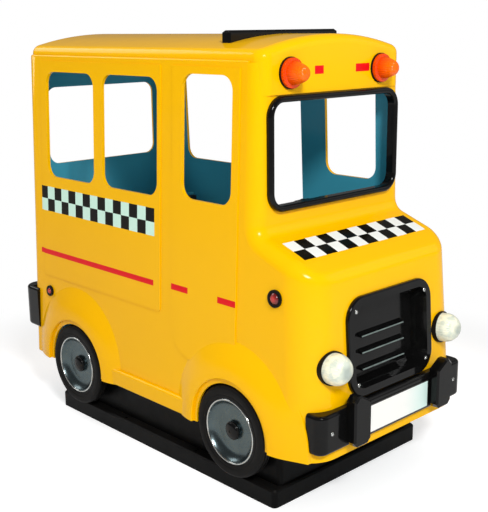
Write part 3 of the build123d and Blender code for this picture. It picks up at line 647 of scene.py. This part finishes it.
# Rounded bead where the roof stands inside the body's upper edge
def corner_path(x, y, radius, z, steps=10):
    """Quarter turn of the path round the rear left corner, from the side to the back."""
    points = []
    for step in range(steps + 1):
        angle = math.pi / 2 * step / steps
        across = x - radius + radius * math.cos(angle)
        along = y - radius + radius * math.sin(angle)
        points.append(Vector((across, along, z)))
    return points


EDGE_X = 0.3665
EDGE_Y = 0.8385
EDGE_Z = 1.5208
EDGE_CORNER = 0.0475
EDGE_RADIUS = 0.0062
left_turn = corner_path(EDGE_X, EDGE_Y, EDGE_CORNER, EDGE_Z)
edge_path = [Vector((EDGE_X, y, EDGE_Z)) for y in (-0.512, -0.2, 0.2, 0.6)] + left_turn
edge_path += [Vector((-point.x, point.y, point.z)) for point in reversed(edge_path)]
data = bmesh.new()
add_tube(data, edge_path, EDGE_RADIUS, 16, False)
piece_from("roof_edge_bead", data, "yellow_gelcoat", "ride", 60)


# Rear corners, rounded as on the real body
REAR_Y = 0.845
REAR_CORNER = 0.052


def rounded_rear(name, node, material):
    """The node's own form, with its two upright rear corners rounded."""
    data = bmesh.new()
    data.from_mesh(nodes[node].data)
    centre_y = REAR_Y - REAR_CORNER
    centre_x = WAIST_HALF - REAR_CORNER
    for step in range(0, 7):
        share = REAR_CORNER * math.tan(math.radians(7.5 * step))
        cuts = [((0, centre_y + share, 0), (0, 1, 0))]
        for side in (-1, 1):
            cuts.append(((side * (centre_x + share), 0, WAIST_Z), (side, 0, SIDE_TAPER)))
        for place, normal in cuts:
            geometry = list(data.verts) + list(data.edges) + list(data.faces)
            bmesh.ops.bisect_plane(data, geom=geometry, plane_co=place, plane_no=normal, dist=1e-5)
    for vertex in data.verts:
        lean = SIDE_TAPER * (vertex.co.z - WAIST_Z)
        side = math.copysign(1.0, vertex.co.x)
        along = abs(vertex.co.x) + lean - centre_x
        back = vertex.co.y - centre_y
        if along > 0 and back > 0:
            scale = max(along, back) / math.hypot(along, back)
            vertex.co.x = side * (centre_x - lean + along * scale)
            vertex.co.y = centre_y + back * scale
    piece = piece_from(name, data, material, "ride", 32)
    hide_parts(node)


rounded_rear("rounded_rear_moulding", "rear_moulding", "yellow_gelcoat")
rounded_rear("rounded_cabin_floor", "cabin_floor", "teal_gelcoat")


# Steering wheel
steer_axis = Vector((0, math.cos(STEER_TILT), math.sin(STEER_TILT)))
steer_up = Vector((0, -math.sin(STEER_TILT), math.cos(STEER_TILT)))
steer_right = Vector((1, 0, 0))


def steer_point(angle, radius, along):
    across = steer_right * math.cos(angle) + steer_up * math.sin(angle)
    return STEER + across * radius + steer_axis * along


data = bmesh.new()
RING_STEPS = 120
TUBE_SIDES = 14
RING_RADIUS = 0.130
rings = []
for step in range(RING_STEPS):
    angle = 2 * math.pi * step / RING_STEPS
    grip = 0.0100 + 0.0009 * math.cos(24 * angle)
    ring = []
    for side_step in range(TUBE_SIDES):
        turn = 2 * math.pi * side_step / TUBE_SIDES
        reach = RING_RADIUS + grip * math.cos(turn)
        ring.append(data.verts.new(steer_point(angle, reach, grip * math.sin(turn))))
    rings.append(ring)
for step in range(RING_STEPS):
    one = rings[step]
    two = rings[(step + 1) % RING_STEPS]
    for side_step in range(TUBE_SIDES):
        beside = (side_step + 1) % TUBE_SIDES
        data.faces.new([one[side_step], one[beside], two[beside], two[side_step]])
SPOKE_LOOP = ((-1, -0.6), (-0.8, -1), (0.8, -1), (1, -0.6), (1, 0.6), (0.8, 1), (-0.8, 1), (-1, 0.6))
for spoke in range(3):
    heading = math.radians(-90 + 120 * spoke)
    sections = []
    for share in (0.0, 0.2, 0.5, 0.8, 1.0):
        radius = 0.020 + 0.103 * share
        half = 0.013 * (1 - 0.38 * math.sin(math.pi * min(share, 0.9)))
        thick = 0.0038
        centre_along = 0.004 * math.sin(math.pi * share)
        loop = []
        for across, along in SPOKE_LOOP:
            turn = math.atan2(half * across, radius)
            reach = math.hypot(radius, half * across)
            point = steer_point(heading + turn, reach, centre_along + thick * along)
            loop.append(data.verts.new(point))
        sections.append(loop)
    for one, two in zip(sections, sections[1:]):
        for index in range(len(SPOKE_LOOP)):
            beside = (index + 1) % len(SPOKE_LOOP)
            data.faces.new([one[index], one[beside], two[beside], two[index]])
    data.faces.new(sections[0][::-1])
    data.faces.new(sections[-1])
hub_bore = [(0.0179, 0.0), (0.0095, 0.0), (0.0095, 0.0143)]
hub_skirt = [(-0.0119, 0.0143), (-0.0119, 0.0285), (-0.0105, 0.0298), (0.009, 0.0298)]
hub_dome = [(0.0125, 0.0285), (0.0155, 0.024), (0.0172, 0.016), (0.0179, 0.008)]
hub = hub_skirt + hub_dome + hub_bore
add_lathe(data, hub, STEER, steer_axis, steer_right, 48)
wheel = piece_from("moulded_steering_wheel", data, "black_gelcoat", "steering", 38)
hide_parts("steering_wheel")


# Upholstery
def lattice_box(low, high, counts):
    """Closed box with a regular grid of quads on each side."""
    data = bmesh.new()
    points = {}

    def corner(i, j, k):
        key = (i, j, k)
        if key not in points:
            share = [index / count for index, count in zip(key, counts)]
            points[key] = data.verts.new([l + (h - l) * s for l, h, s in zip(low, high, share)])
        return points[key]

    def side(across, up, through):
        """Quads of the two sides that face along the axis number through."""
        for first in range(counts[across]):
            for second in range(counts[up]):
                for level in (0, counts[through]):
                    quad = []
                    for step_a, step_b in ((0, 0), (1, 0), (1, 1), (0, 1)):
                        key = [level, level, level]
                        key[across] = first + step_a
                        key[up] = second + step_b
                        quad.append(corner(*key))
                    data.faces.new(quad)

    side(0, 1, 2)
    side(0, 2, 1)
    side(1, 2, 0)
    bmesh.ops.recalc_face_normals(data, faces=data.faces)
    return data


SEAM_DEPTH = 0.006
SEAM_REACH = 0.003
SEAM_END = 0.02
SWELL_CAP = 0.010
CLOTH_FRAMES = 20


def swell(piece, pinned, cap):
    """Blow the cushion up a little as cloth, with its seams held."""
    rest = [vertex.co.copy() for vertex in piece.data.vertices]
    group = piece.vertex_groups.new(name="held")
    group.add(pinned, 1.0, "REPLACE")
    modifier = piece.modifiers.new("cloth", "CLOTH")
    settings = modifier.settings
    settings.quality = 5
    settings.mass = 0.3
    settings.tension_stiffness = 12
    settings.compression_stiffness = 12
    settings.bending_stiffness = 0.6
    settings.use_pressure = True
    settings.uniform_pressure_force = 4.0
    settings.vertex_group_mass = "held"
    settings.effector_weights.gravity = 0.0
    modifier.point_cache.frame_start = 1
    modifier.point_cache.frame_end = CLOTH_FRAMES
    scene = bpy.context.scene
    for number in range(1, CLOTH_FRAMES + 1):
        scene.frame_set(number)
    shown = piece.evaluated_get(bpy.context.evaluated_depsgraph_get())
    moved = [vertex.co.copy() for vertex in shown.data.vertices]
    piece.modifiers.clear()
    for vertex, before, after in zip(piece.data.vertices, rest, moved):
        step = after - before
        if step.length > cap:
            step *= cap / step.length
        vertex.co = before + step
    scene.frame_set(1)


def cushion(name, low, high, counts, face_axis, seams, node):
    """Padded vinyl cushion whose face looks along face_axis, with sewn channels."""
    data = lattice_box(low, high, counts)
    pinned = []
    data.verts.ensure_lookup_table()
    axis, top = face_axis
    for vertex in data.verts:
        edge_x = min(abs(vertex.co.x - low[0]), abs(vertex.co.x - high[0]))
        on_face = abs(vertex.co[axis] - (high[axis] if top else low[axis])) < 1e-6
        on_back = abs(vertex.co[axis] - (low[axis] if top else high[axis])) < 1e-6
        near_seam = min(abs(vertex.co.x - seam) for seam in seams)
        if on_face and near_seam < SEAM_REACH and edge_x > SEAM_END:
            vertex.co[axis] += -SEAM_DEPTH if top else SEAM_DEPTH
            pinned.append(vertex.index)
        if on_back:
            pinned.append(vertex.index)
    mesh = bpy.data.meshes.new(name)
    data.to_mesh(mesh)
    data.free()
    piece = bpy.data.objects.new(name, mesh)
    bpy.context.scene.collection.objects.link(piece)
    mesh.materials.append(materials["black_vinyl"])
    swell(piece, pinned, SWELL_CAP)
    smooth = piece.modifiers.new("smooth", "SUBSURF")
    smooth.levels = 1
    smooth.render_levels = 1
    mesh.shade_smooth()
    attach(piece, "ride")
    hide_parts(node)
    return piece


def rounded_slab(name, low, high, radius, material, node):
    """Moulded box with soft edges."""
    data = lattice_box(low, high, (1, 1, 1))
    bmesh.ops.bevel(data, geom=list(data.edges), offset=radius, segments=4, profile=0.5, affect="EDGES")
    piece = piece_from(name, data, material, "ride", 50)
    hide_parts(node)
    return piece


SEAMS = (-0.210, -0.070, 0.070, 0.210)
SEAT_BOX = ((-0.349, 0.2245, 0.4425), (0.349, 0.5745, 0.632))
SEAT_CUSHION = ((-0.340, 0.198, 0.634), (0.340, 0.566, 0.682))
BACK_BOARD = ((-0.349, 0.607, 0.4425), (0.349, 0.6295, 0.8715))
BACK_PAD = ((-0.340, 0.584, 0.700), (0.340, 0.606, 0.862))
rounded_slab("seat_box", *SEAT_BOX, 0.012, "teal_gelcoat", "seat")
cushion("seat_cushion", *SEAT_CUSHION, (68, 36, 5), (2, True), SEAMS, "seat")
rounded_slab("seat_back_board", *BACK_BOARD, 0.008, "teal_gelcoat", "seat_back")
cushion("seat_back_pad", *BACK_PAD, (68, 3, 16), (1, False), SEAMS, "seat_back")


# Floor, light and camera
bpy.ops.mesh.primitive_plane_add(size=60)
floor = bpy.context.object
floor.name = "studio_floor"
floor_shade = Shade("studio_floor", FLOOR, 0.8)
floor_shade.bsdf.inputs["Specular IOR Level"].default_value = 0.1
paths = floor_shade.tree.nodes.new("ShaderNodeLightPath")
seen = floor_shade.some(paths.outputs["Is Camera Ray"], paths.outputs["Is Transmission Ray"])
floor_shade.bsdf.inputs["Emission Color"].default_value = (1, 1, 1, 1)
across = floor_shade.math("POWER", floor_shade.x, 2.0)
along = floor_shade.math("POWER", floor_shade.y, 2.0)
reach = floor_shade.math("SQRT", floor_shade.math("ADD", across, along))
outside = floor_shade.ramp(reach, 1.1, 2.1)
near_glow = floor_shade.math("SUBTRACT", NEAR_GLOW, floor_shade.math("MULTIPLY", outside, NEAR_GLOW))
glow = floor_shade.math("MULTIPLY", seen, near_glow)
floor_shade.put(glow, floor_shade.bsdf.inputs["Emission Strength"])
plain_white = floor_shade.tree.nodes.new("ShaderNodeEmission")
joined = floor_shade.tree.nodes.new("ShaderNodeMixShader")
floor_shade.put(floor_shade.math("MULTIPLY", outside, seen), joined.inputs[0])
floor_shade.tree.links.new(floor_shade.bsdf.outputs[0], joined.inputs[1])
floor_shade.tree.links.new(plain_white.outputs[0], joined.inputs[2])
output = floor_shade.tree.nodes["Material Output"]
floor_shade.tree.links.new(joined.outputs[0], output.inputs["Surface"])
floor.data.materials.append(floor_shade.material)

world = bpy.data.worlds.new("studio")
bpy.context.scene.world = world
world.use_nodes = True
tree = world.node_tree
background = tree.nodes["Background"]
paths = tree.nodes.new("ShaderNodeLightPath")
seen = tree.nodes.new("ShaderNodeMath")
seen.operation = "MAXIMUM"
tree.links.new(paths.outputs["Is Camera Ray"], seen.inputs[0])
tree.links.new(paths.outputs["Is Transmission Ray"], seen.inputs[1])
shown = tree.nodes.new("ShaderNodeMix")
shown.data_type = "RGBA"
around = tree.nodes.new("ShaderNodeMix")
around.data_type = "RGBA"
around.inputs[6].default_value = DIFFUSE_WORLD
around.inputs[7].default_value = GLOSSY_WORLD
tree.links.new(paths.outputs["Is Glossy Ray"], around.inputs[0])
tree.links.new(around.outputs[2], shown.inputs[6])
shown.inputs[7].default_value = (1, 1, 1, 1)
tree.links.new(seen.outputs[0], shown.inputs[0])
tree.links.new(shown.outputs[2], background.inputs["Color"])
background.inputs["Strength"].default_value = 1.0


def area_light(name, place, target, size, power):
    light = bpy.data.lights.new(name, "AREA")
    light.size = size
    light.energy = power
    lamp = bpy.data.objects.new(name, light)
    bpy.context.scene.collection.objects.link(lamp)
    lamp.location = place
    lamp.rotation_euler = (Vector(target) - Vector(place)).to_track_quat("-Z", "Y").to_euler()


area_light("key", (-2.6, -4.6, 4.4), (0, 0, 0.8), 1.0, 265)
area_light("fill", (3.6, -3.2, 2.8), (0, 0, 0.8), 3.2, 18)
area_light("back", (-1.5, 4.2, 4.0), (0, 0, 0.9), 2.6, 70)

FOCAL_PIXELS = 929
FRAME_PIXELS = 512
SENSOR = 36.0
camera_data = bpy.data.cameras.new("camera")
camera_data.sensor_width = SENSOR
camera_data.lens = FOCAL_PIXELS / FRAME_PIXELS * SENSOR
camera = bpy.data.objects.new("camera", camera_data)
bpy.context.scene.collection.objects.link(camera)
place = Vector((-2.4944, -2.7137, 1.634))
ahead = (Vector((-0.935, -1.075, 1.075)) - place).normalized()
level = ahead.cross(Vector((0, 0, 1))).normalized()
raised = level.cross(ahead)
roll = math.radians(0.6)
right = level * math.cos(roll) - raised * math.sin(roll)
up = right.cross(ahead)
camera.matrix_world = Matrix((
    (right.x, up.x, -ahead.x, place.x),
    (right.y, up.y, -ahead.y, place.y),
    (right.z, up.z, -ahead.z, place.z),
    (0, 0, 0, 1),
))
bpy.context.scene.camera = camera
bpy.context.scene.view_settings.view_transform = "Standard"
